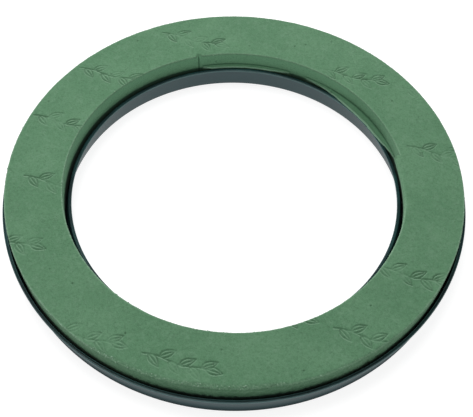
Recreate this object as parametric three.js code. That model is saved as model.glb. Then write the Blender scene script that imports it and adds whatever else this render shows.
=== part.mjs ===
// A floral foam ring: four curved blocks of foam, butted end to end and glued into a ring-shaped plastic tray.
// Millimetres, +Z up. The origin is the centre of the tray's underside, on the surface that the ring stands on.

import * as THREE from 'three';

// Tray: a trough that runs round in a circle, with a small rim on each wall. The outer wall is the higher one.
const INNER_HEIGHT = 27.5;
const OUTER_HEIGHT = 28.8;
const TRAY_WALL = 1.3;
const TRAY_FLOOR = 1.5;
const BASE_INNER_RADIUS = 152.3;
const BASE_OUTER_RADIUS = 198.0;
const RIM_INNER_RADIUS = 144.1;
const RIM_OUTER_RADIUS = 204.1;
const RIM_WIDTH = 2.7;
const RIM_DEPTH = 2.2;
const BASE_CORNER_RADIUS = 2.0;
const RIM_EDGE_RADIUS = 0.7;
const TRAY_STEPS = 72;
const CORNER_STEPS = 3;

// Foam: one section, swept round the ring.
const FOAM_TOP = 44.9;
const FOAM_INNER_RADIUS = 150.2;
const FOAM_OUTER_RADIUS = 200.3;
const FOAM_EDGE = 1.1;
const FOAM_STEPS = 20;
const FOAM_OUTER_LEAN = 1.2;
const FOAM_INNER_LEAN = 0.5;
const WALL_CLEARANCE = 0.6;
const RIM_CLEARANCE = 0.5;
const TOUCH_GAP = 0.3;

// Where the blocks meet, in degrees from +X towards +Y, and the slit between two of them.
const JOINTS = { right: 12, back: 104, left: 194, front: 284 };
const JOINT_SLIT_DEG = 0.16;
const FULL_TURN = 360;

// Foam that is squeezed out over the inner rim: two thin ledges, and a block end that leans in.
const SPILL = FOAM_INNER_RADIUS - RIM_INNER_RADIUS - 0.3;
const LEDGE_HEIGHT = 2.4;
const LEDGES = [
  { from: 12.5, full: 29, hold: 39, to: 68, reach: SPILL },
  { from: 68, full: 78, hold: 99, to: 103.8, reach: 2.8 },
];
const OVERHANG = { from: 328, full: 365, slope: 4.5 };

// Glue: one flat bead of hot-melt under each block.
const GLUE_THICKNESS = 1.2;
const GLUE_WIDTH = 14;
const GLUE_END_MARGIN_DEG = 5;
const GLUE_STEPS = 12;

const FOAM_BOTTOM = TRAY_FLOOR + TOUCH_GAP + GLUE_THICKNESS + TOUCH_GAP;
const MIDDLE_RADIUS = (BASE_INNER_RADIUS + BASE_OUTER_RADIUS) / 2;

const FOAM_COLOUR = 0x5f8e69;
const TRAY_COLOUR = 0x1f302f;
const GLUE_COLOUR = 0xd9cfae;

const radians = THREE.MathUtils.degToRad;
const smooth = THREE.MathUtils.smoothstep;
const mix = THREE.MathUtils.lerp;

// Radius of a tray wall's inside face at height z. That face is straight, from the floor's edge to the rim.
function wallFace(baseRadius, rimRadius, top, z) {
  return mix(baseRadius, rimRadius, (z - TRAY_FLOOR) / (top - TRAY_FLOOR));
}

function innerFace(z) {
  return wallFace(BASE_INNER_RADIUS + TRAY_WALL, RIM_INNER_RADIUS + RIM_WIDTH, INNER_HEIGHT, z);
}

function outerFace(z) {
  return wallFace(BASE_OUTER_RADIUS - TRAY_WALL, RIM_OUTER_RADIUS - RIM_WIDTH, OUTER_HEIGHT, z);
}

// An outline given as [radius, height, corner radius], with its corners turned into arcs.
function roundedOutline(corners) {
  const outline = [];
  corners.forEach(([r, z, round], i) => {
    const corner = new THREE.Vector2(r, z);
    if (!round) {
      outline.push(corner);
      return;
    }
    const before = new THREE.Vector2(...corners.at(i - 1)).sub(corner).normalize();
    const after = new THREE.Vector2(...corners[(i + 1) % corners.length]).sub(corner).normalize();
    const halfAngle = Math.acos(before.dot(after)) / 2;
    const reach = round / Math.tan(halfAngle);
    const start = corner.clone().addScaledVector(before, reach);
    const end = corner.clone().addScaledVector(after, reach);
    const middle = before.clone().add(after).setLength(round / Math.sin(halfAngle)).add(corner);
    const turn = Math.PI - 2 * halfAngle;
    const direction = Math.sign(start.clone().sub(middle).cross(end.clone().sub(middle)));
    for (let step = 0; step <= CORNER_STEPS; step += 1) {
      const angle = (direction * turn * step) / CORNER_STEPS;
      outline.push(start.clone().rotateAround(middle, angle));
    }
  });
  return outline;
}

// The tray's section, anticlockwise: under the floor, up the outer wall, down into the trough and back up.
function traySection() {
  const innerRimBottom = INNER_HEIGHT - RIM_DEPTH;
  const outerRimBottom = OUTER_HEIGHT - RIM_DEPTH;
  return roundedOutline([
    [BASE_INNER_RADIUS, 0, BASE_CORNER_RADIUS],
    [BASE_OUTER_RADIUS, 0, BASE_CORNER_RADIUS],
    [outerFace(outerRimBottom) + TRAY_WALL, outerRimBottom, 0],
    [RIM_OUTER_RADIUS, outerRimBottom, RIM_EDGE_RADIUS],
    [RIM_OUTER_RADIUS, OUTER_HEIGHT, RIM_EDGE_RADIUS],
    [RIM_OUTER_RADIUS - RIM_WIDTH, OUTER_HEIGHT, 0],
    [outerFace(TRAY_FLOOR), TRAY_FLOOR, 0],
    [innerFace(TRAY_FLOOR), TRAY_FLOOR, 0],
    [RIM_INNER_RADIUS + RIM_WIDTH, INNER_HEIGHT, 0],
    [RIM_INNER_RADIUS, INNER_HEIGHT, RIM_EDGE_RADIUS],
    [RIM_INNER_RADIUS, innerRimBottom, RIM_EDGE_RADIUS],
    [innerFace(innerRimBottom) - TRAY_WALL, innerRimBottom, 0],
  ]);
}

function trayGeometry() {
  const section = traySection();
  const geometry = new THREE.LatheGeometry([...section, section[0]], TRAY_STEPS);
  return geometry.rotateX(Math.PI / 2);
}

// A solid swept round the Z axis between two angles. sectionAt(angle) gives its outline there, anticlockwise.
function sweptSolid(sectionAt, fromDeg, toDeg, steps) {
  const positions = [];
  const indices = [];
  const corners = sectionAt(fromDeg).length;
  for (let step = 0; step <= steps; step += 1) {
    const angle = mix(fromDeg, toDeg, step / steps);
    for (const point of sectionAt(angle)) {
      positions.push(point.x * Math.cos(radians(angle)), point.x * Math.sin(radians(angle)), point.y);
    }
  }
  for (let step = 0; step < steps; step += 1) {
    for (let corner = 0; corner < corners; corner += 1) {
      const here = step * corners + corner;
      const next = step * corners + ((corner + 1) % corners);
      indices.push(here, here + corners, next);
      indices.push(next, here + corners, next + corners);
    }
  }
  const last = steps * corners;
  for (const [a, b, c] of THREE.ShapeUtils.triangulateShape(sectionAt(fromDeg), [])) {
    indices.push(a, b, c);
  }
  for (const [a, b, c] of THREE.ShapeUtils.triangulateShape(sectionAt(toDeg), [])) {
    indices.push(last + a, last + c, last + b);
  }
  const geometry = new THREE.BufferGeometry();
  geometry.setAttribute('position', new THREE.Float32BufferAttribute(positions, 3));
  geometry.setIndex(indices);
  return geometry;
}

// How far the thin ledges of squeezed foam reach over the inner rim at an angle.
function ledgeReach(angle) {
  const reaches = LEDGES.map((ledge) => {
    const rise = smooth(angle, ledge.from, ledge.full);
    const fall = 1 - smooth(angle, ledge.hold, ledge.to);
    return ledge.reach * rise * fall;
  });
  return Math.max(...reaches);
}

// How far a whole block end leans over the inner rim at an angle.
function overhangReach(angle) {
  return SPILL * smooth(angle, OVERHANG.from, OVERHANG.full);
}

// The foam's section, anticlockwise from its inner foot. It follows the tray's walls below the rim.
function foamSection(angle) {
  const overhang = overhangReach(angle);
  const ledge = Math.max(overhang, ledgeReach(angle));
  const spillBottom = INNER_HEIGHT + RIM_CLEARANCE;
  const ledgeTop = spillBottom + LEDGE_HEIGHT;
  const innerWall = FOAM_INNER_RADIUS - overhang;
  const bend = INNER_HEIGHT / 2;
  return [
    [innerFace(FOAM_BOTTOM) + WALL_CLEARANCE, FOAM_BOTTOM],
    [outerFace(FOAM_BOTTOM) - WALL_CLEARANCE, FOAM_BOTTOM],
    [outerFace(bend) - WALL_CLEARANCE, bend],
    [FOAM_OUTER_RADIUS - FOAM_OUTER_LEAN, OUTER_HEIGHT],
    [FOAM_OUTER_RADIUS, FOAM_TOP - FOAM_EDGE],
    [FOAM_OUTER_RADIUS - FOAM_EDGE, FOAM_TOP],
    [innerWall + FOAM_EDGE + overhang / 2, FOAM_TOP],
    [innerWall, FOAM_TOP - FOAM_EDGE - (OVERHANG.slope * overhang) / SPILL],
    [innerWall, ledgeTop + FOAM_INNER_LEAN],
    [FOAM_INNER_RADIUS - ledge, ledgeTop],
    [FOAM_INNER_RADIUS - ledge, spillBottom],
    [FOAM_INNER_RADIUS, spillBottom - FOAM_INNER_LEAN],
    [FOAM_INNER_RADIUS + WALL_CLEARANCE, bend],
  ].map(([r, z]) => new THREE.Vector2(r, z));
}

function foamBlock(fromDeg, toDeg) {
  const slit = JOINT_SLIT_DEG / 2;
  return sweptSolid(foamSection, fromDeg + slit, toDeg - slit, FOAM_STEPS);
}

function glueBead(fromDeg, toDeg) {
  const bottom = TRAY_FLOOR + TOUCH_GAP;
  const halfWidth = GLUE_WIDTH / 2;
  const section = [
    [MIDDLE_RADIUS - halfWidth, bottom],
    [MIDDLE_RADIUS + halfWidth, bottom],
    [MIDDLE_RADIUS + halfWidth - GLUE_THICKNESS, bottom + GLUE_THICKNESS],
    [MIDDLE_RADIUS - halfWidth + GLUE_THICKNESS, bottom + GLUE_THICKNESS],
  ].map(([r, z]) => new THREE.Vector2(r, z));
  return sweptSolid(() => section, fromDeg + GLUE_END_MARGIN_DEG, toDeg - GLUE_END_MARGIN_DEG, GLUE_STEPS);
}

function piece(name, geometry, color, roughness) {
  const material = new THREE.MeshStandardMaterial({ color, roughness, metalness: 0 });
  const mesh = new THREE.Mesh(geometry, material);
  mesh.name = name;
  return mesh;
}

const group = new THREE.Group();
group.add(piece('tray', trayGeometry(), TRAY_COLOUR, 0.3));

const blocks = {
  back_right: [JOINTS.right, JOINTS.back],
  back_left: [JOINTS.back, JOINTS.left],
  front_left: [JOINTS.left, JOINTS.front],
  front_right: [JOINTS.front, JOINTS.right + FULL_TURN],
};

for (const [place, [fromDeg, toDeg]] of Object.entries(blocks)) {
  group.add(piece(`foam_${place}`, foamBlock(fromDeg, toDeg), FOAM_COLOUR, 0.95));
  group.add(piece(`glue_bead_${place}`, glueBead(fromDeg, toDeg), GLUE_COLOUR, 0.45));
}

export default group;
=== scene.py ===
import math

import bpy
from mathutils import Matrix, Vector


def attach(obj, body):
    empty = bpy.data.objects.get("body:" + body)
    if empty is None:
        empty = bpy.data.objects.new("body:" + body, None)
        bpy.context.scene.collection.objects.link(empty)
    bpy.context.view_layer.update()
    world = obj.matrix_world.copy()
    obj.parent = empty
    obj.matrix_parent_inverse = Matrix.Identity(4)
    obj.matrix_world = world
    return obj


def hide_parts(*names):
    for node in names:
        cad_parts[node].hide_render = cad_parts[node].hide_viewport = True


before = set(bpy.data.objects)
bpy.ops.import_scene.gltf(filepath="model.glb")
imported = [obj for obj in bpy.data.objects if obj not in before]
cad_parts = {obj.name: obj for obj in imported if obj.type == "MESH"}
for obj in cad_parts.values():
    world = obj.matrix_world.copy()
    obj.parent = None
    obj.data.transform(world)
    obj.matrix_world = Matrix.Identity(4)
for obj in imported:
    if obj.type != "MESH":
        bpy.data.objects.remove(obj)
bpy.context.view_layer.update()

# A floral foam ring: four curved blocks of foam in a ring-shaped plastic tray. Metres, +Z up.
BODY = "root"
MM = 0.001

# The blocks, each from one joint to the next, in degrees from +X towards +Y.
BLOCKS = {
    "back_right": (12.0, 104.0),
    "back_left": (104.0, 194.0),
    "front_left": (194.0, 284.0),
    "front_right": (284.0, 372.0),
}
SLIT_DEG = 0.004
BLOCK_STEPS = 480
TRAY_STEPS = 600

# Section sizes, in millimetres. A pair of radii is for the inner and the outer wall.
INNER_TOP = 27.5
OUTER_TOP = 28.8
TRAY_FLOOR = 1.5
TRAY_WALL = 1.3
TRAY_FLOOR_RADII = (153.6, 196.7)
TRAY_LIP_RADII = (146.8, 201.4)
TRAY_RIM_RADII = (144.1, 204.1)
TRAY_BASE_RADII = (152.3, 198.0)
TRAY_RIM_DEPTH = 2.2
FOAM_TOP = 44.9
FOAM_BOTTOM = 3.3
FOAM_INNER = 150.2
FOAM_OUTER = 200.3
FOAM_MIDDLE = 175.2
FOAM_OUTER_LEAN = 1.2
FOAM_CLEARANCE = 0.6

# Foam squeezed out over the tray's inner rim, in millimetres.
LEDGE_BOTTOM = 28.0
LEDGE_TOP = 29.9
WIDE_LEDGE_REACH = 6.1
NARROW_LEDGE_REACH = 2.8
LEANING_REACH = 4.524
LEANING_FULL = 41

# Stretches of the ring that differ from the rest, as bearings in degrees: where each one starts, is at
# its full, begins to fade and ends. The last block's bearings go on past 360, and its leaning end has
# no fade, because it stops at the joint.
LEANING_END = (341, 368)
WIDE_LEDGE = (12.5, 29, 39, 68)
NARROW_LEDGE = (68, 78, 99, 103.6)
CRUMBLED_EDGE = (232, 240, 254, 262)
BROKEN_EDGE = (254, 262, 281, 284.3)
TRIMMED_EDGE = (283.9, 284.2, 306, 318)
TORN_WALL = (236, 250, 306, 320)
GRANULE_HEAP = (228, 244, 268, 284)
SLACK_EDGE = (262, 275, 325, 340)
# Stretches where the painted highlight along the top's edges is stronger.
HIGHLIT_EDGES = ((150, 170, 236, 246), (316, 326, 350, 365))
# Stretches where the painted shade on the outer walls and low in the gap is weaker.
WEAKER_WALL_SHADE = ((196, 212, 244, 262), (284, 296, 330, 345))
BEVEL = (340, 356, 371, 372.5)
BEVEL_FACE = (345, 356, 373, 374)
NOTCH = (102.2, 103.4, 104.3, 105.2)
# Painted shade in the open joint at 104° and in small nicks beside the joint at 12°.
OPEN_JOINT = (103, 103.8, 104.5, 105)
NICKED_ENDS = ((11, 11.9, 12.6, 13), (371, 371.4, 372.1, 373))
# Stretches where the painted light on the inner walls is weaker.
WEAKER_INNER_LIGHT_START = (11, 12, 22, 60)
WEAKER_INNER_LIGHT_END = (340, 352, 372.1, 373)

# The foam's roughness, in millimetres: sizes across, then heights.
SAW_WAVE = 22
STAMP_PATCH = 20
RAGGED_EDGE = 7
LUMP = 5
CRUMB = 1.8
GRIT = 1.5
DUST_PATCH = 1.3
PIT_SPACING = 11
PIT_RADIUS = 1.1
GROOVE_REACH = 0.9
SAW_WAVE_HEIGHT = 0.3
LUMP_HEIGHT = 3.4
RIM_HEIGHT = 0.25
GROOVE_DEPTH = 0.9
PIT_DEPTH = 0.8
SETTLED_DEPTH = 0.2
# The share of the pits' places that have one.
PIT_SHARE = 0.35

# Loose granules on the worn edges: their radius in millimetres, and how many lie on a square metre.
GRANULE_RADIUS = 1
GRANULES = 250000.0


class Wire:
    """One socket of a node tree. Arithmetic on it adds Math nodes."""

    def __init__(self, graph, socket):
        self.graph = graph
        self.socket = socket

    def maths(self, operation, *others, reverse=False):
        values = [self, *others]
        if reverse:
            values.reverse()
        return self.graph.node("ShaderNodeMath", {"operation": operation}, dict(enumerate(values)))

    def __add__(self, other):
        return self.maths("ADD", other)

    def __sub__(self, other):
        return self.maths("SUBTRACT", other)

    def __rsub__(self, other):
        return self.maths("SUBTRACT", other, reverse=True)

    def __mul__(self, other):
        return self.maths("MULTIPLY", other)

    def __truediv__(self, other):
        return self.maths("DIVIDE", other)

    def __pow__(self, other):
        return self.maths("POWER", other)

    __radd__ = __add__
    __rmul__ = __mul__


class Graph:
    """A node tree, and the one way in which nodes are added to it."""

    def __init__(self, tree):
        self.tree = tree

    def node(self, kind, settings=None, inputs=None, out=0):
        made = self.tree.nodes.new(kind)
        for name, value in (settings or {}).items():
            setattr(made, name, value)
        for name, value in (inputs or {}).items():
            socket = pick(made.inputs, name)
            for one in value if isinstance(value, list) else [value]:
                if isinstance(one, Wire):
                    self.tree.links.new(one.socket, socket)
                else:
                    socket.default_value = one
        return Wire(self, pick(made.outputs, out)) if made.outputs else made

    def vector(self, operation, inputs):
        return self.node("ShaderNodeVectorMath", {"operation": operation}, inputs)

    def other(self, wire, out):
        """Another output of the node that a wire comes from."""
        return Wire(self, pick(wire.socket.node.outputs, out))


def pick(sockets, name):
    if isinstance(name, int):
        return sockets[name]
    return next(s for s in sockets if s.name == name and s.enabled)


def rise(value, low, high):
    """A smooth step: 0 up to low and 1 from high on, or the other way round where high is less than low."""
    limits = {"Value": value, "From Min": low, "From Max": high}
    return value.graph.node("ShaderNodeMapRange", {"interpolation_type": "SMOOTHSTEP"}, limits)


def rise_mm(value, low, high):
    """A smooth step of a length, with its limits in millimetres."""
    return rise(value, low * MM, high * MM)


def span(value, start, full, fade, end):
    return rise(value, start, full) * rise(value, end, fade)


def span_mm(value, start, full, fade, end):
    return rise_mm(value, start, full) * rise_mm(value, end, fade)


def at_most(value, limit):
    return value.maths("MINIMUM", limit)


def at_least(value, limit):
    return value.maths("MAXIMUM", limit)


def noise(graph, where, size, detail=2.0, roughness=0.5):
    """Noise whose features are about size metres across. It averages 0.5."""
    values = {"Vector": where, "Scale": 1.0 / size, "Detail": detail, "Roughness": roughness}
    return graph.node("ShaderNodeTexNoise", {"normalize": True}, values, "Fac")


def cells(graph, where, size):
    """The distance, in cell sizes, to the middle of the nearest of some cells about size metres across."""
    return graph.node("ShaderNodeTexVoronoi", {}, {"Vector": where, "Scale": 1.0 / size}, "Distance")


def split(graph, vector):
    parts = graph.node("ShaderNodeSeparateXYZ", {}, {0: vector})
    return parts, graph.other(parts, "Y"), graph.other(parts, "Z")


# ---------------------------------------------------------------- sections

def rounded(corners, steps=5):
    """An outline given as (radius, height, corner radius), with its corners turned into arcs."""
    outline = []
    for i, (r, z, bend) in enumerate(corners):
        corner = Vector((r, z))
        if not bend:
            outline.append(corner)
            continue
        before = (Vector(corners[i - 1][:2]) - corner).normalized()
        after = (Vector(corners[(i + 1) % len(corners)][:2]) - corner).normalized()
        half = before.angle(after) / 2
        middle = corner + (before + after).normalized() * (bend / math.sin(half))
        start = corner + before * (bend / math.tan(half)) - middle
        turn = math.pi - 2 * half
        way = math.copysign(1, start.cross(corner - middle))
        for step in range(steps + 1):
            outline.append(middle + turned(start, way * turn * step / steps))
    return outline


def turned(vector, angle):
    c, s = math.cos(angle), math.sin(angle)
    return Vector((vector.x * c - vector.y * s, vector.x * s + vector.y * c))


def spaced(outline, spacing_at):
    """The outline with points added, so that they are no further apart than spacing_at(midpoint)."""
    points = []
    for here, there in zip(outline, outline[1:] + outline[:1]):
        count = max(1, math.ceil((there - here).length / spacing_at((here + there) / 2)))
        points += [here.lerp(there, k / count) for k in range(count)]
    return points


def section_curve(name, points):
    """A closed curve in its own XY plane: X is outwards from the middle of the foam, Y is down."""
    curve = bpy.data.curves.new(name, "CURVE")
    curve.dimensions = "3D"
    spline = curve.splines.new("POLY")
    spline.points.add(len(points) - 1)
    for place, point in zip(spline.points, reversed(points)):
        place.co = ((point.x - FOAM_MIDDLE) * MM, -point.y * MM, 0, 1)
    spline.use_cyclic_u = True
    return linked(name, curve)


def linked(name, data):
    made = bpy.data.objects.new(name, data)
    bpy.context.scene.collection.objects.link(made)
    return made


def wall_face(side, z):
    """Radius of the inside face of the tray's inner (0) or outer (1) wall at a height."""
    top = (INNER_TOP, OUTER_TOP)[side]
    share = (z - TRAY_FLOOR) / (top - TRAY_FLOOR)
    return TRAY_FLOOR_RADII[side] * (1 - share) + TRAY_LIP_RADII[side] * share


def tray_outline():
    base_bend, floor_bend, rim_bend, under_rim_bend, lip_bend = 2.0, 0.8, 0.8, 0.3, 0.25
    inner_bottom = INNER_TOP - TRAY_RIM_DEPTH
    outer_bottom = OUTER_TOP - TRAY_RIM_DEPTH
    inner, outer = TRAY_RIM_RADII
    return rounded([
        (TRAY_BASE_RADII[0], 0, base_bend),
        (TRAY_BASE_RADII[1], 0, base_bend),
        (wall_face(1, outer_bottom) + TRAY_WALL, outer_bottom, under_rim_bend),
        (outer, outer_bottom, rim_bend),
        (outer, OUTER_TOP, rim_bend),
        (TRAY_LIP_RADII[1], OUTER_TOP, lip_bend),
        (TRAY_FLOOR_RADII[1], TRAY_FLOOR, floor_bend),
        (TRAY_FLOOR_RADII[0], TRAY_FLOOR, floor_bend),
        (TRAY_LIP_RADII[0], INNER_TOP, lip_bend),
        (inner, INNER_TOP, rim_bend),
        (inner, inner_bottom, rim_bend),
        (wall_face(0, inner_bottom) - TRAY_WALL, inner_bottom, under_rim_bend),
    ])


def tray_spacing(_middle):
    return 3.0


def foam_outline():
    edge_bend = 0.5
    above_ledge = LEDGE_TOP + 1.4
    halfway = INNER_TOP / 2
    return rounded([
        (wall_face(0, FOAM_BOTTOM) + FOAM_CLEARANCE, FOAM_BOTTOM, 0),
        (wall_face(1, FOAM_BOTTOM) - FOAM_CLEARANCE, FOAM_BOTTOM, 0),
        (wall_face(1, halfway) - FOAM_CLEARANCE, halfway, 0),
        (FOAM_OUTER - FOAM_OUTER_LEAN, OUTER_TOP, 0),
        (FOAM_OUTER, FOAM_TOP, edge_bend),
        (FOAM_INNER, FOAM_TOP, edge_bend),
        (FOAM_INNER, above_ledge, 0),
        (FOAM_INNER, LEDGE_BOTTOM, 0),
        (FOAM_INNER + FOAM_CLEARANCE, halfway, 0),
    ], steps=2)


def foam_spacing(middle):
    """Finest round the ledge, fine where the foam shows and coarse inside the tray."""
    if middle.y > FOAM_TOP - 4:
        return 0.55
    if middle.y < INNER_TOP - 2:
        return 5.0
    if middle.x < FOAM_MIDDLE and middle.y < LEDGE_TOP + 1:
        return 0.42
    return 0.8


# ---------------------------------------------------------------- pressed leaf sprigs

SPRIG_LENGTH = 66.0
SPRIG_TILT = -0.28
ROW_PITCH = 66.4
ALONG_PITCH = 78.6
ROW_STAGGER = 0.2335
SPRIG_ORIGIN = (-5.9, 16.5)
STEM_STEPS = 30
STEM_SWAY = 1.4
STEM_WAVES = 1.25
LEAF_COUNT = 6
LEAF_STEPS = 8
LEAF_LENGTH = 14.0
LEAF_WIDTH = 3.1
LEAF_ANGLE = 0.66
LEAF_FULLNESS = 0.8
MIDRIB_SHARE = 0.8
# Rows and columns where the stamp left no mark.
UNPRESSED = {(2, 0), (0, 2), (-2, -1), (-3, 1)}


def leaf(base, direction):
    """Two curved sides and a midrib, from the base to the pointed tip."""
    side = Vector((-direction.y, direction.x))
    lines = []
    for bulge in (1, -1):
        line = []
        for k in range(LEAF_STEPS + 1):
            share = k / LEAF_STEPS
            width = bulge * LEAF_WIDTH * math.sin(math.pi * share ** LEAF_FULLNESS)
            line.append(base + direction * (LEAF_LENGTH * share) + side * width)
        lines.append(line)
    lines.append([base, base + direction * LEAF_LENGTH * MIDRIB_SHARE])
    return lines


def sprig():
    """A wavy stem along X with leaves on alternate sides and one at its end, as polylines."""
    half = SPRIG_LENGTH / 2
    stem_end = half - LEAF_LENGTH

    def on_stem(share):
        sway = STEM_SWAY * math.sin(2 * math.pi * STEM_WAVES * share)
        return Vector((-half + share * (stem_end + half), sway))

    lines = [[on_stem(k / STEM_STEPS) for k in range(STEM_STEPS + 1)]]
    for k in range(LEAF_COUNT):
        share = (k + 0.6) / LEAF_COUNT
        angle = LEAF_ANGLE if k % 2 else -LEAF_ANGLE
        lines += leaf(on_stem(share), turned(Vector((1, 0)), angle))
    lines += leaf(on_stem(1), Vector((1, 0)))
    return lines


def sprig_places():
    """Staggered rows of places, as far as the ring reaches."""
    along = turned(Vector((1, 0)), SPRIG_TILT)
    across = turned(Vector((0, 1)), SPRIG_TILT)
    origin = along * SPRIG_ORIGIN[0] + across * SPRIG_ORIGIN[1]
    reach = range(-4, 5)
    margin = 30
    for row in reach:
        for column in reach:
            shift = ROW_STAGGER if row % 2 else 0
            place = origin + along * (ALONG_PITCH * (column + shift)) + across * (ROW_PITCH * row)
            on_ring = FOAM_INNER - margin < place.length < FOAM_OUTER + margin
            if on_ring and (row, column) not in UNPRESSED:
                yield place


def sprig_pattern():
    points, edges = [], []
    for place in sprig_places():
        for line in sprig():
            first = len(points)
            points += [place + turned(p, SPRIG_TILT) for p in line]
            edges += [(k, k + 1) for k in range(first, len(points) - 1)]
    mesh = bpy.data.meshes.new("sprig_pattern")
    mesh.from_pydata([(p.x * MM, p.y * MM, FOAM_TOP * MM) for p in points], edges, [])
    return linked("sprig_pattern", mesh)


# ---------------------------------------------------------------- geometry trees

def geometry_graph(name, inputs):
    tree = bpy.data.node_groups.new(name, "GeometryNodeTree")
    tree.interface.new_socket("Geometry", in_out="INPUT", socket_type="NodeSocketGeometry")
    for title, kind in inputs.items():
        tree.interface.new_socket(title, in_out="INPUT", socket_type=kind)
    tree.interface.new_socket("Geometry", in_out="OUTPUT", socket_type="NodeSocketGeometry")
    graph = Graph(tree)
    first = graph.node("NodeGroupInput")
    return graph, {title: graph.other(first, title) for title in inputs}


def geometry_of(graph, thing):
    settings = {"transform_space": "ORIGINAL"}
    return graph.node("GeometryNodeObjectInfo", settings, {"Object": thing}, "Geometry")


def swept(graph, section, path, caps):
    """The section swept along a path round the Z axis."""
    upright = graph.node("GeometryNodeSetCurveNormal", {"mode": "Z_UP"}, {"Curve": path})
    inputs = {"Curve": upright, "Profile Curve": geometry_of(graph, section), "Fill Caps": caps}
    return graph.node("GeometryNodeCurveToMesh", {}, inputs)


def finished(graph, geometry, material, flat=False):
    """Smooth shading, but for the faces where flat is above nought."""
    smooth = graph.node("GeometryNodeSetShadeSmooth", {}, {"Geometry": geometry, "Shade Smooth": True})
    shading = {"Geometry": smooth, "Selection": flat, "Shade Smooth": False}
    shaded = graph.node("GeometryNodeSetShadeSmooth", {}, shading)
    real = graph.node("GeometryNodeRealizeInstances", {}, {"Geometry": shaded})
    dressed = graph.node("GeometryNodeSetMaterial", {}, {"Geometry": real, "Material": material})
    graph.node("NodeGroupOutput", {}, {"Geometry": dressed})


def polar(graph, position, middle_deg):
    """Radius, bearing in degrees near middle_deg, and height of a position."""
    x, y, z = split(graph, position)
    middle = middle_deg * math.radians(1)
    cosine, sine = middle.maths("COSINE"), middle.maths("SINE")
    ahead = x * cosine + y * sine
    aside = y * cosine - x * sine
    radius = (x * x + y * y) ** 0.5
    bearing = aside.maths("ARCTAN2", ahead) * math.degrees(1) + middle_deg
    return radius, bearing, z


def moved(graph, geometry, outward, upward):
    """The geometry with its points moved outwards from the Z axis and upwards."""
    position = graph.node("GeometryNodeInputPosition")
    level = graph.vector("MULTIPLY", {0: position, 1: (1, 1, 0)})
    out_way = graph.vector("NORMALIZE", {0: level})
    sideways = graph.vector("SCALE", {0: out_way, "Scale": outward})
    upwards = graph.node("ShaderNodeCombineXYZ", {}, {"Z": upward})
    return offset_by(graph, geometry, graph.vector("ADD", {0: sideways, 1: upwards}))


def offset_by(graph, geometry, offset):
    return graph.node("GeometryNodeSetPosition", {}, {"Geometry": geometry, "Offset": offset})


def stored(graph, geometry, name, value):
    settings = {"data_type": "FLOAT", "domain": "POINT"}
    inputs = {"Geometry": geometry, "Name": name, "Value": value}
    return graph.node("GeometryNodeStoreNamedAttribute", settings, inputs)


class Spot:
    """Where a point of a foam block is, and on which part of it, as fields. Lengths are in metres."""

    def __init__(self, graph, start, end):
        self.graph = graph
        self.position = graph.node("GeometryNodeInputPosition")
        self.radius, self.bearing, self.height = polar(graph, self.position, (start + end) * 0.5)
        self.depth = FOAM_TOP * MM - self.height
        self.from_end = at_most(self.bearing - start, end - self.bearing) * math.radians(1) * self.radius
        self.outside = rise_mm(self.radius, FOAM_MIDDLE - 1, FOAM_MIDDLE + 1)
        self.lumps = self.noise(LUMP, 3.0, 0.6)

        # How far the whole wall and the thin ledge lean in over the inner rim.
        self.overhang = rise(self.bearing, *LEANING_END) * (LEANING_REACH * MM)
        wide = self.within(WIDE_LEDGE) * WIDE_LEDGE_REACH
        narrow = self.within(NARROW_LEDGE) * NARROW_LEDGE_REACH
        self.ledge = at_least(wide, narrow) * MM
        self.over_rim = rise_mm(self.height, LEDGE_BOTTOM - 0.6, LEDGE_BOTTOM - 0.1)
        self.ledge_high = self.over_rim * rise_mm(self.height, LEDGE_TOP + 0.3, LEDGE_TOP - 0.1)
        self.inner_wall = FOAM_INNER * MM - self.overhang

    def noise(self, size, detail=2.0, roughness=0.5):
        """Noise with features of a size in millimetres."""
        return noise(self.graph, self.position, size * MM, detail, roughness)

    def within(self, *stretches):
        """1 in the given stretches of the ring and 0 outside them."""
        shares = [span(self.bearing, *stretch) for stretch in stretches]
        return sum(shares[1:], shares[0])


def leaning(spot):
    """How far a point is squeezed in over the tray's inner rim, in metres. The ledge has a ragged edge."""
    ragged = (spot.noise(RAGGED_EDGE, 3.0) - 0.5) * (1.2 * MM)
    on_inner_wall = rise_mm(spot.radius, FOAM_INNER + 9, FOAM_INNER + 0.5)
    ledge = at_least(spot.ledge - spot.overhang, 0.0) * spot.ledge_high
    tucked = 0.35 + rise_mm(spot.height, LEDGE_BOTTOM, LEANING_FULL) * 0.65
    lean = spot.overhang * spot.over_rim * tucked
    return (lean + ledge + ragged * rise_mm(ledge, 0.0, 1)) * on_inner_wall


def edge_radii(spot):
    """The radius to which the top's outer (first) and inner (second) edge is worn, in metres."""
    lumps, crumbs = spot.lumps, spot.noise(CRUMB, 2.0, 0.6)
    even = 0.3 + lumps * 0.7
    outer = (
        even
        + spot.within(BROKEN_EDGE) * (0.4 + lumps * 5.0 + crumbs * 3.4)
        + spot.within(CRUMBLED_EDGE) * (0.4 + lumps * 2.6 + crumbs * 3.2)
        + spot.within(TRIMMED_EDGE) * (1.2 + lumps * 1.6)
    )
    inner = (
        even
        + spot.within(NOTCH) * 4.0
        + spot.within(BEVEL) * (1.6 + lumps * 2.0)
        + spot.within(SLACK_EDGE) * lumps * 1.2
    )
    return outer * MM, inner * MM


def rounding(inset, depth, radius):
    """How far a point near a top edge moves inwards (first) and down (second) to lie on the worn round."""
    sideways = at_least(radius - inset, 0.0)
    downward = at_least(radius - depth, 0.0)
    reach = at_least((sideways * sideways + downward * downward) ** 0.5, 1e-6)
    excess = at_least(1.0 - radius / reach, 0.0)
    return sideways * excess, downward * excess


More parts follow.
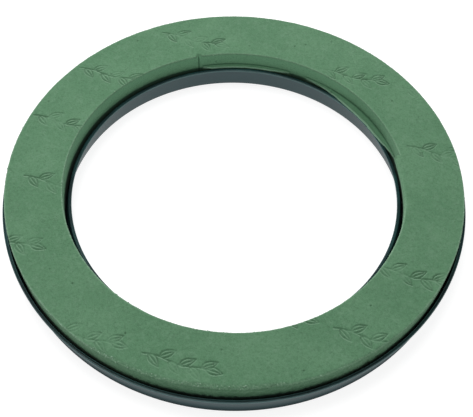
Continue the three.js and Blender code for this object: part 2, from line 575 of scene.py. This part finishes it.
def wear(spot, worn_away):
    """How worn the top's edges are and how much dust lies on them, with a painted highlight along them.
    worn_away is in metres.
    """
    crest = rise_mm(spot.depth, 3.2, 0.3)
    patchy = rise(spot.noise(DUST_PATCH, 2.0), 0.48, 0.66)
    worn = rise_mm(worn_away, 0.02, 0.35) * crest * (0.12 + patchy * 0.7)
    # A painted highlight along the top's outer and inner edges, stronger in some stretches.
    from_edge = at_most(FOAM_OUTER * MM - spot.radius, spot.radius - spot.inner_wall)
    edge_highlight = rise_mm(from_edge, 1.6, 0.4) * rise_mm(spot.depth, 1.3, 0.4) * (0.35 + patchy * 0.3)
    edge_highlight = edge_highlight * (1.0 + spot.within(*HIGHLIT_EDGES) * 0.9)
    on_bevel = spot.within(BEVEL_FACE) * rise_mm(spot.radius, FOAM_MIDDLE, FOAM_MIDDLE - 2)
    return at_least(worn, edge_highlight) * (1.0 - on_bevel * 0.65) * (1.0 - spot.within(NOTCH))


def pressed(spot, pattern):
    """The sprigs' grooves (first) and the rims on their far side (second), each fainter here and there. The
    rims stand up a little and carry a painted highlight.
    """
    graph = spot.graph
    lines = geometry_of(graph, pattern)

    def distance_from(place):
        inputs = {"Geometry": lines, "Sample Position": place}
        return graph.node("GeometryNodeProximity", {"target_element": "EDGES"}, inputs, "Distance")

    behind = graph.vector("ADD", {0: spot.position, 1: (0.2 * MM, 1.0 * MM, 0)})
    strength = rise(spot.noise(STAMP_PATCH, 2.0), 0.38, 0.62)
    groove = rise_mm(distance_from(spot.position), GROOVE_REACH, 0.25) * (0.25 + strength * 0.75)
    # Rims: a small rise, and a painted highlight in the material.
    rim = rise_mm(distance_from(behind), GROOVE_REACH, 0.2) * (1.0 - groove) * (0.2 + strength * 0.8)
    return groove, rim


def pits(spot):
    """1 in the middle of small pits."""
    away = cells(spot.graph, spot.position, PIT_SPACING * MM)
    chance = split(spot.graph, spot.graph.other(away, "Color"))[0]
    there = rise(chance, PIT_SHARE + 0.01, PIT_SHARE)
    return rise_mm(away * (PIT_SPACING * MM), PIT_RADIUS, PIT_RADIUS * 0.4) * there


def relief(spot, worn, groove, rim, pit):
    """How far a point stands out, in metres: the saw's waviness, grit, torn lumps, sprigs and pits."""
    waves = spot.noise(SAW_WAVE, 1.0) - 0.5
    grit = spot.noise(GRIT, 2.0, 0.65) - 0.5
    torn = spot.within(TORN_WALL) * rise_mm(spot.radius, FOAM_OUTER - 6, FOAM_OUTER - 1)
    lumpy = (spot.lumps - 0.5) * torn * rise_mm(spot.height, FOAM_TOP, FOAM_TOP - 2)
    height = (
        waves * SAW_WAVE_HEIGHT + grit * (0.26 + worn * 0.9) + lumpy * LUMP_HEIGHT
        + rim * RIM_HEIGHT - groove * GROOVE_DEPTH - pit * PIT_DEPTH
    )
    away_from_end = rise_mm(spot.from_end, 0.0, 0.8)
    visible = rise_mm(spot.height, INNER_TOP - 1.5, INNER_TOP)
    return height * away_from_end * visible * MM


def wall_marks(spot):
    """The material's shares on the walls: painted wall shade, painted light on the inner walls, painted
    shade low in the gap over the tray's rims, and the ledge.
    """
    inside = 1.0 - spot.outside
    below_edge = rise_mm(spot.height, FOAM_TOP - 0.8, FOAM_TOP - 2.5)
    lower = rise_mm(spot.height, FOAM_TOP - 2, OUTER_TOP + 1)
    stepped = rise_mm(spot.ledge, 0.1, 0.5) * inside
    ledge = stepped * spot.ledge_high
    # Painted shadow in the crease above the ledge.
    crease = span_mm(spot.height, LEDGE_TOP + 0.1, LEDGE_TOP + 0.3, LEDGE_TOP + 1.0, LEDGE_TOP + 2.4)
    # Painted shade in the open joint.
    open_joint = rise_mm(spot.from_end, 0.9, 0.3) * spot.within(OPEN_JOINT) * inside
    # Painted shade in small nicks at the outer edge beside the joint.
    near_outer_edge = rise_mm(spot.radius, FOAM_OUTER - 7, FOAM_OUTER - 3)
    nicked = rise_mm(spot.from_end, 0.7, 0.2) * near_outer_edge * spot.within(*NICKED_ENDS)
    # Stretches where the painted shade is weaker.
    weaker_shade = spot.within(*WEAKER_WALL_SHADE)
    # Painted shade on the outer walls, darker downwards; the same wall colour paints the shade in the
    # crease, the open joint, the nicks and round the ledge's edges.
    shaded = spot.outside * (0.3 + lower * 0.7) * (0.7 + spot.lumps * 0.6) * (1.0 - weaker_shade * 0.45)
    wall = below_edge * (shaded + open_joint) + crease * stepped * 0.8 + nicked * 0.8 + ledge * 0.45
    # Painted light: the inner walls lighter than the top, less so low down.
    inner_light = below_edge * inside * (1.0 - lower * 0.25) * (1.0 - spot.within(WEAKER_INNER_LIGHT_START) * 0.45)
    inner_light = inner_light * (1.0 - ledge) * (1.0 - spot.within(WEAKER_INNER_LIGHT_END) * 0.7)
    # Painted shade low on the walls, in the gap over the tray's rims.
    above_rims = spot.height - spot.outside * ((OUTER_TOP - INNER_TOP) * MM)
    foot = rise_mm(above_rims, INNER_TOP + 2.2, INNER_TOP)
    foot = foot * (1.0 - spot.outside * weaker_shade * 0.8) * (1.0 - ledge)
    return {"wall": at_most(wall, 1.0), "inside": inner_light, "foot": foot, "ledge": ledge}


def strewn(spot, block, amount):
    """The block with loose granules on its worn edges."""
    graph = spot.graph

    def drawn(kind, low, high, seed):
        inputs = {"Min": low, "Max": high, "Seed": seed}
        return graph.node("FunctionNodeRandomValue", {"data_type": kind}, inputs, "Value")

    worn = graph.node("GeometryNodeInputNamedAttribute", {"data_type": "FLOAT"}, {"Name": "worn"})
    density = rise(worn, 0.3, 0.9) * (0.1 + spot.within(GRANULE_HEAP) * 2.4) * amount
    scattered = graph.node(
        "GeometryNodeDistributePointsOnFaces",
        {"distribute_method": "RANDOM"},
        {"Mesh": block, "Density": density, "Seed": 7},
        "Points",
    )
    ball = {"Radius": GRANULE_RADIUS * MM, "Subdivisions": 1}
    granule = graph.node("GeometryNodeMeshIcoSphere", {}, ball, "Mesh")
    granules = graph.node("GeometryNodeInstanceOnPoints", {}, {
        "Points": scattered,
        "Instance": granule,
        "Rotation": drawn("FLOAT_VECTOR", (0, 0, 0), (math.tau,) * 3, 3),
        "Scale": drawn("FLOAT_VECTOR", (0.3, 0.3, 0.25), (1.15, 1.0, 0.8), 5),
    })
    granules = graph.node("GeometryNodeRealizeInstances", {}, {"Geometry": granules})
    granules = stored(graph, granules, "worn", drawn("FLOAT", 0.9, 1.6, 9))
    return graph.node("GeometryNodeJoinGeometry", {}, {"Geometry": [granules, block]})


FOAM_INPUTS = {
    "Section": "NodeSocketObject",
    "Pattern": "NodeSocketObject",
    "From": "NodeSocketFloat",
    "To": "NodeSocketFloat",
    "Steps": "NodeSocketInt",
    "Granules": "NodeSocketFloat",
    "Material": "NodeSocketMaterial",
}
TRAY_INPUTS = {
    "Section": "NodeSocketObject",
    "Steps": "NodeSocketInt",
    "Material": "NodeSocketMaterial",
}


def foam_tree():
    """A block: its section swept from joint to joint, squeezed out, worn, pressed, roughened and strewn."""
    graph, given = geometry_graph("foam block", FOAM_INPUTS)
    path = graph.node("GeometryNodeCurveArc", {"mode": "RADIUS"}, {
        "Resolution": given["Steps"],
        "Radius": FOAM_MIDDLE * MM,
        "Start Angle": (given["From"] + SLIT_DEG / 2) * math.radians(1),
        "Sweep Angle": (given["To"] - given["From"] - SLIT_DEG) * math.radians(1),
    })
    block = swept(graph, given["Section"], path, caps=True)
    spot = Spot(graph, given["From"], given["To"])
    block = moved(graph, block, leaning(spot) * -1.0, 0.0)

    # The top's two edges, worn round. The distances are from where the walls now stand.
    outer_round, inner_round = edge_radii(spot)
    outer_in, outer_down = rounding(FOAM_OUTER * MM - spot.radius, spot.depth, outer_round)
    inner_in, inner_down = rounding(spot.radius - spot.inner_wall, spot.depth, inner_round)
    inner_in = inner_in * rise_mm(spot.depth, 10, 8)
    worn = wear(spot, outer_in + outer_down + inner_in + inner_down)
    # The worn attribute holds dust on the worn edges and the painted highlight along them.
    block = stored(graph, block, "worn", worn)
    settled = rise_mm(spot.depth, 3, 0.5) * (SETTLED_DEPTH * MM)
    block = moved(graph, block, inner_in - outer_in, (outer_down + inner_down + settled) * -1.0)

    groove, rim = pressed(spot, given["Pattern"])
    pit = pits(spot)
    marks = {"groove": groove, "rim": rim, "pit": pit, **wall_marks(spot)}
    for name, value in marks.items():
        block = stored(graph, block, name, value)
    normal = graph.node("GeometryNodeInputNormal")
    offset = graph.vector("SCALE", {0: normal, "Scale": relief(spot, worn, groove, rim, pit)})
    block = strewn(spot, offset_by(graph, block, offset), given["Granules"])

    above = at_least(spot.height - FOAM_TOP * MM, 0.0)
    level = moved(graph, block, 0.0, above * -1.0)
    finished(graph, level, given["Material"], flat=0.05 * MM - spot.from_end)
    return graph.tree


def tray_tree():
    """The tray's section swept right round, with the ends of the sweep joined."""
    graph, given = geometry_graph("tray", TRAY_INPUTS)
    circle = {"Resolution": given["Steps"], "Radius": FOAM_MIDDLE * MM}
    path = graph.node("GeometryNodeCurvePrimitiveCircle", {"mode": "RADIUS"}, circle)
    finished(graph, swept(graph, given["Section"], path, caps=False), given["Material"])
    return graph.tree


def made_by(tree, name, values):
    """A plain mesh object made by a geometry tree with the given inputs."""
    made = linked(name, bpy.data.meshes.new(name))
    modifier = made.modifiers.new(name, "NODES")
    modifier.node_group = tree
    for item in tree.interface.items_tree:
        if item.in_out == "INPUT" and item.name in values:
            modifier[item.identifier] = values[item.name]
    made.update_tag()
    depsgraph = bpy.context.evaluated_depsgraph_get()
    depsgraph.update()
    mesh = bpy.data.meshes.new_from_object(made.evaluated_get(depsgraph), depsgraph=depsgraph)
    mesh.name = name
    mesh.materials.clear()
    mesh.materials.append(values["Material"])
    mesh.polygons.foreach_set("material_index", [0] * len(mesh.polygons))
    made.modifiers.clear()
    made.data = mesh
    return made


# ---------------------------------------------------------------- materials

FOAM_COLOUR = (0.116, 0.246, 0.139, 1)
FOAM_DARK = (0.098, 0.220, 0.121, 1)
# Painted shade on the walls.
FOAM_WALL_SHADE = (0.030, 0.092, 0.046, 1)
# Painted shade low on the walls, in the gap over the tray's rims.
FOAM_FOOT_SHADE = (0.010, 0.042, 0.027, 1)
# Painted light on the inner walls.
FOAM_INSIDE_LIT = (0.135, 0.310, 0.176, 1)
FOAM_SLIVER = (0.200, 0.360, 0.240, 1)
FOAM_PALE = (0.160, 0.290, 0.185, 1)
# Foam dust, also the colour of the painted highlights along the top's edges and on the sprigs' rims.
FOAM_DUST_AND_HIGHLIGHT = (0.240, 0.385, 0.270, 1)
# Dark pores and grain, also the colour of the painted shade in the sprigs' grooves and the pits.
FOAM_PORE_AND_SHADE = (0.050, 0.112, 0.062, 1)
TRAY_COLOUR = (0.012, 0.046, 0.046, 1)
# A deeper tone of the plastic, also used as painted shade towards the bottom of the outer wall.
TRAY_DEEP_TONE_AND_SHADE = (0.006, 0.020, 0.022, 1)
# The walls painted a little lighter and bluer, standing in for reflected light.
TRAY_COLOUR_WALL_LIT = (0.017, 0.052, 0.058, 1)
# A painted highlight on the rim's and the lip's edges.
TRAY_HIGHLIGHT = (0.105, 0.195, 0.195, 1)
TRAY_DUST = (0.070, 0.110, 0.085, 1)
GLUE_COLOUR = (0.62, 0.54, 0.36, 1)
GLUE_PALE = (0.75, 0.70, 0.55, 1)


def material_graph(name):
    material = bpy.data.materials.new(name)
    material.use_nodes = True
    material.node_tree.nodes.clear()
    return material, Graph(material.node_tree)


def object_position(graph):
    return graph.node("ShaderNodeTexCoord", {}, {}, "Object")


def layered(graph, tone, layers):
    """A colour with others mixed over it in turn, each given as its share and itself."""
    settings = {"data_type": "RGBA", "blend_type": "MIX", "clamp_factor": True}
    for share, colour in layers:
        tone = graph.node("ShaderNodeMix", settings, {"Factor": share, "A": tone, "B": colour}, "Result")
    return tone


def bumped(graph, height, strength, distance):
    inputs = {"Strength": strength, "Distance": distance * MM, "Height": height}
    return graph.node("ShaderNodeBump", {}, inputs, "Normal")


def surfaced(graph, inputs):
    shader = graph.node("ShaderNodeBsdfPrincipled", {}, inputs, "BSDF")
    graph.node("ShaderNodeOutputMaterial", {}, {"Surface": shader})


def attribute(graph, name):
    settings = {"attribute_type": "GEOMETRY", "attribute_name": name}
    return graph.node("ShaderNodeAttribute", settings, {}, "Fac")


def foam_material():
    """Dry phenolic foam: dull, full of pores under a millimetre, paler with dust where it is worn. Shade on
    its walls, in its grooves and pits, light on its inner walls and highlights along its edges and the
    sprigs' rims are painted into its colour.
    """
    material, graph = material_graph("floral_foam")
    where = object_position(graph)
    clouds = noise(graph, where, 45 * MM, 3.0, 0.55)
    mottle = noise(graph, where, 6 * MM, 3.0, 0.6)
    speckle = noise(graph, where, 2.4 * MM, 2.0, 0.6)
    grain = noise(graph, where, 1.3 * MM, 3.0, 0.7)
    pores = cells(graph, where, 0.85 * MM)
    # Dust where the edges are worn, and the painted highlight along them.
    dust_and_edge_highlight = attribute(graph, "worn") * (0.25 + grain * 0.75)
    # Painted shade in the grooves and pits.
    recess_shade = attribute(graph, "groove") * 0.42 + attribute(graph, "pit") * 0.45
    tone = layered(graph, FOAM_DARK, [
        (rise(clouds, 0.35, 0.68), FOAM_COLOUR),
        (rise(mottle, 0.45, 0.75) * 0.36, FOAM_PALE),
        (rise(speckle, 0.52, 0.32) * 0.20, FOAM_PORE_AND_SHADE),
        (rise(speckle, 0.52, 0.72) * 0.20, FOAM_PALE),
        # Painted light on the inner walls.
        (attribute(graph, "inside") * 0.9, FOAM_INSIDE_LIT),
        # Painted shade on the walls.
        (attribute(graph, "wall") * 0.9, FOAM_WALL_SHADE),
        # Painted shade low in the gap over the tray's rims.
        (attribute(graph, "foot") * 0.85, FOAM_FOOT_SHADE),
        (rise(grain, 0.52, 0.34) * 0.32, FOAM_PORE_AND_SHADE),
        (rise(pores, 0.28, 0.05) * 0.40, FOAM_PORE_AND_SHADE),
        # Dust, and the painted highlight along the top's edges.
        (at_most(dust_and_edge_highlight, 1.0), FOAM_DUST_AND_HIGHLIGHT),
        # A painted highlight on the sprigs' rims.
        (attribute(graph, "rim") * 0.55, FOAM_DUST_AND_HIGHLIGHT),
        (rise(attribute(graph, "ledge"), 0.75, 0.97), FOAM_SLIVER),
        # Painted shade in the grooves and pits.
        (at_most(recess_shade, 1.0), FOAM_PORE_AND_SHADE),
    ])
    height = grain * 0.6 + mottle * 0.4 - rise(pores, 0.35, 0.05) * 0.5
    surfaced(graph, {
        "Base Color": tone,
        "Roughness": 0.90 + grain * 0.10,
        "Normal": bumped(graph, height, 0.55, 0.35),
        "Specular IOR Level": 0.1,
        "Sheen Weight": 0.05,
        "Sheen Roughness": 0.6,
    })
    return material


def tray_material():
    """Moulded plastic, dark green and smooth, with flow streaks, scuffs and foam dust. Highlights along the
    rim's edges and the lip's inner edge, lighter walls for reflected light and shade low on the outer wall
    are painted into its colour.
    """
    material, graph = material_graph("moulded_plastic")
    where = object_position(graph)
    x, y, height = split(graph, where)
    radius = (x * x + y * y) ** 0.5
    flow = noise(graph, where, 30 * MM, 2.0, 0.5)
    speck = noise(graph, where, 0.9 * MM, 2.0, 0.6)
    stretched = graph.vector("MULTIPLY", {0: where, 1: (1, 1, 9)})
    scuffs = noise(graph, stretched, 14 * MM, 5.0, 0.7)
    dust = rise(speck, 0.62, 0.74) * rise_mm(height, 12, INNER_TOP) * rise(flow, 0.45, 0.6)

    outside = rise_mm(radius, TRAY_BASE_RADII[1] - 1, TRAY_BASE_RADII[1] - 0.3)
    inside = rise_mm(radius, TRAY_BASE_RADII[0] + 1, TRAY_BASE_RADII[0] + 0.3)
    below_rim = rise_mm(height, INNER_TOP - 0.4, INNER_TOP - 2.0)
    # Painted highlights along the rim's outer and inner edges, and a thinner one on the lip's inner edge in
    # the gap.
    outer_edge = rise_mm(radius, TRAY_RIM_RADII[1] - 0.9, TRAY_RIM_RADII[1] - 0.2)
    inner_edge = rise_mm(radius, TRAY_RIM_RADII[0] + 0.5, TRAY_RIM_RADII[0] + 0.05)
    on_rim = rise_mm(height, INNER_TOP - 1.8, INNER_TOP - 1.0)
    gap_edge = rise_mm(radius, TRAY_LIP_RADII[1] + 0.9, TRAY_LIP_RADII[1] + 0.3)
    gap_edge = gap_edge * rise_mm(height, OUTER_TOP - 1.4, OUTER_TOP - 0.8)
    gap_edge = gap_edge * rise_mm(radius, FOAM_OUTER, FOAM_OUTER + 0.3)
    rim_highlights = (outer_edge + inner_edge) * on_rim + gap_edge * 0.7
    tone = layered(graph, TRAY_DEEP_TONE_AND_SHADE, [
        (rise(flow, 0.35, 0.7), TRAY_COLOUR),
        # The walls painted a little lighter, standing in for reflected light.
        ((outside + inside) * below_rim * 0.9, TRAY_COLOUR_WALL_LIT),
        (dust * 0.55, TRAY_DUST),
        # Painted highlights on the edges, uneven with the scuffs.
        (at_most(rim_highlights * (0.4 + scuffs * 0.6), 1.0), TRAY_HIGHLIGHT),
        # Painted shade, darker towards the bottom of the outer wall.
        (rise_mm(height, 13, 1) * 0.85 * outside, TRAY_DEEP_TONE_AND_SHADE),
    ])
    bump = bumped(graph, scuffs * 0.5 + flow * 0.5, 0.12, 0.4)
    surfaced(graph, {
        "Base Color": tone,
        "Roughness": at_most(0.24 + rise(scuffs, 0.45, 0.75) * 0.14 + dust * 0.3, 1.0),
        "Normal": bump,
        "Specular IOR Level": 0.0,
        "Coat Weight": 0.46 - outside * (0.36 - rise_mm(height, 5, 20) * 0.26),
        "Coat Roughness": 0.26,
        "Coat IOR": 1.5,
        "Coat Normal": bump,
    })
    return material


def glue_material():
    """Hot-melt glue: waxy and milky, with slight clouding."""
    material, graph = material_graph("hot_melt_glue")
    clouds = noise(graph, object_position(graph), 5 * MM, 3.0, 0.6)
    surfaced(graph, {
        "Base Color": layered(graph, GLUE_COLOUR, [(rise(clouds, 0.35, 0.7), GLUE_PALE)]),
        "Roughness": 0.32 + clouds * 0.2,
        "Normal": bumped(graph, clouds, 0.4, 0.5),
    })
    return material


# ---------------------------------------------------------------- the pieces

def dressed_ring():
    foam, plastic, glue = foam_material(), tray_material(), glue_material()
    foam_section = section_curve("foam_section", spaced(foam_outline(), foam_spacing))
    tray_section = section_curve("tray_section", spaced(tray_outline(), tray_spacing))
    pattern = sprig_pattern()
    block_tree = foam_tree()
    for place, (start, end) in BLOCKS.items():
        block = made_by(block_tree, f"foam_block_{place}", {
            "Section": foam_section,
            "Pattern": pattern,
            "From": start,
            "To": end,
            "Steps": BLOCK_STEPS,
            "Granules": GRANULES,
            "Material": foam,
        })
        adopt(block, f"foam_{place}")
    tray = made_by(tray_tree(), "ring_tray", {
        "Section": tray_section,
        "Steps": TRAY_STEPS,
        "Material": plastic,
    })
    adopt(tray, "tray")
    for place in BLOCKS:
        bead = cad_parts[f"glue_bead_{place}"]
        for material_slot in bead.material_slots:
            material_slot.material = glue
    for spent in (foam_section, tray_section, pattern):
        bpy.data.objects.remove(spent)


def adopt(piece, node):
    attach(piece, BODY)
    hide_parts(node)


# ---------------------------------------------------------------- floor, light and camera

FLOOR_REACH = 6.0
FLOOR_DROP = 0.2
FLOOR_GREY = (0.34, 0.34, 0.34, 1)
FLOOR_GLOW = 0.86
SKY_GLOW = 0.30
WHITE = (1, 1, 1, 1)
# The lamps' places and sizes in metres, and their power in watts.
LAMPS = {
    "overhead": ((-0.2, 0.15, 1.5), (0.9, 0.9), 13.0),
    "behind": ((-0.6, 1.8, 0.8), (0.8, 0.5), 26.0),
}
VIEW_TILT = 0.961847
VIEW_ROLL = 0.018672
VIEW_DISTANCE = 0.98549
LENS = 82.52
SENSOR = 36.0
SHIFT = (0.0051, 0.00234)


def white_floor():
    material, graph = material_graph("studio_floor")
    surfaced(graph, {
        "Base Color": FLOOR_GREY,
        "Roughness": 0.9,
        "Specular IOR Level": 0.1,
        "Emission Color": WHITE,
        "Emission Strength": FLOOR_GLOW,
    })
    corners = [(x * FLOOR_REACH, y * FLOOR_REACH, 0) for x, y in ((-1, -1), (1, -1), (1, 1), (-1, 1))]
    mesh = bpy.data.meshes.new("studio_floor")
    mesh.from_pydata(corners, [], [(0, 1, 2, 3)])
    mesh.materials.append(material)
    floor = linked("studio_floor", mesh)
    floor.location.z = -FLOOR_DROP * MM


def soft_box(name, place, size, power):
    light = bpy.data.lights.new(name, "AREA")
    light.shape = "RECTANGLE"
    light.size, light.size_y = size
    light.energy = power
    lamp = linked(name, light)
    lamp.location = place
    lamp.rotation_euler = (-Vector(place)).to_track_quat("-Z", "Y").to_euler()


def studio():
    world = bpy.data.worlds.new("studio")
    bpy.context.scene.world = world
    world.use_nodes = True
    world.node_tree.nodes.clear()
    graph = Graph(world.node_tree)
    glow = graph.node("ShaderNodeBackground", {}, {"Color": WHITE, "Strength": SKY_GLOW})
    graph.node("ShaderNodeOutputWorld", {}, {"Surface": glow})
    for name, (place, size, power) in LAMPS.items():
        soft_box(name, place, size, power)
    bpy.context.scene.view_settings.view_transform = "Standard"


def camera():
    back = Vector((0, -math.cos(VIEW_TILT), math.sin(VIEW_TILT)))
    level, up = Vector((1, 0, 0)), Vector((0, math.sin(VIEW_TILT), math.cos(VIEW_TILT)))
    right = level * math.cos(VIEW_ROLL) + up * math.sin(VIEW_ROLL)
    top = up * math.cos(VIEW_ROLL) - level * math.sin(VIEW_ROLL)
    lens = bpy.data.cameras.new("camera")
    lens.sensor_fit = "HORIZONTAL"
    lens.sensor_width = SENSOR
    lens.lens = LENS
    lens.shift_x, lens.shift_y = SHIFT
    made = linked("camera", lens)
    made.matrix_world = Matrix((right, top, back)).transposed().to_4x4()
    made.location = back * VIEW_DISTANCE
    bpy.context.scene.camera = made


camera()
studio()
white_floor()
dressed_ring()
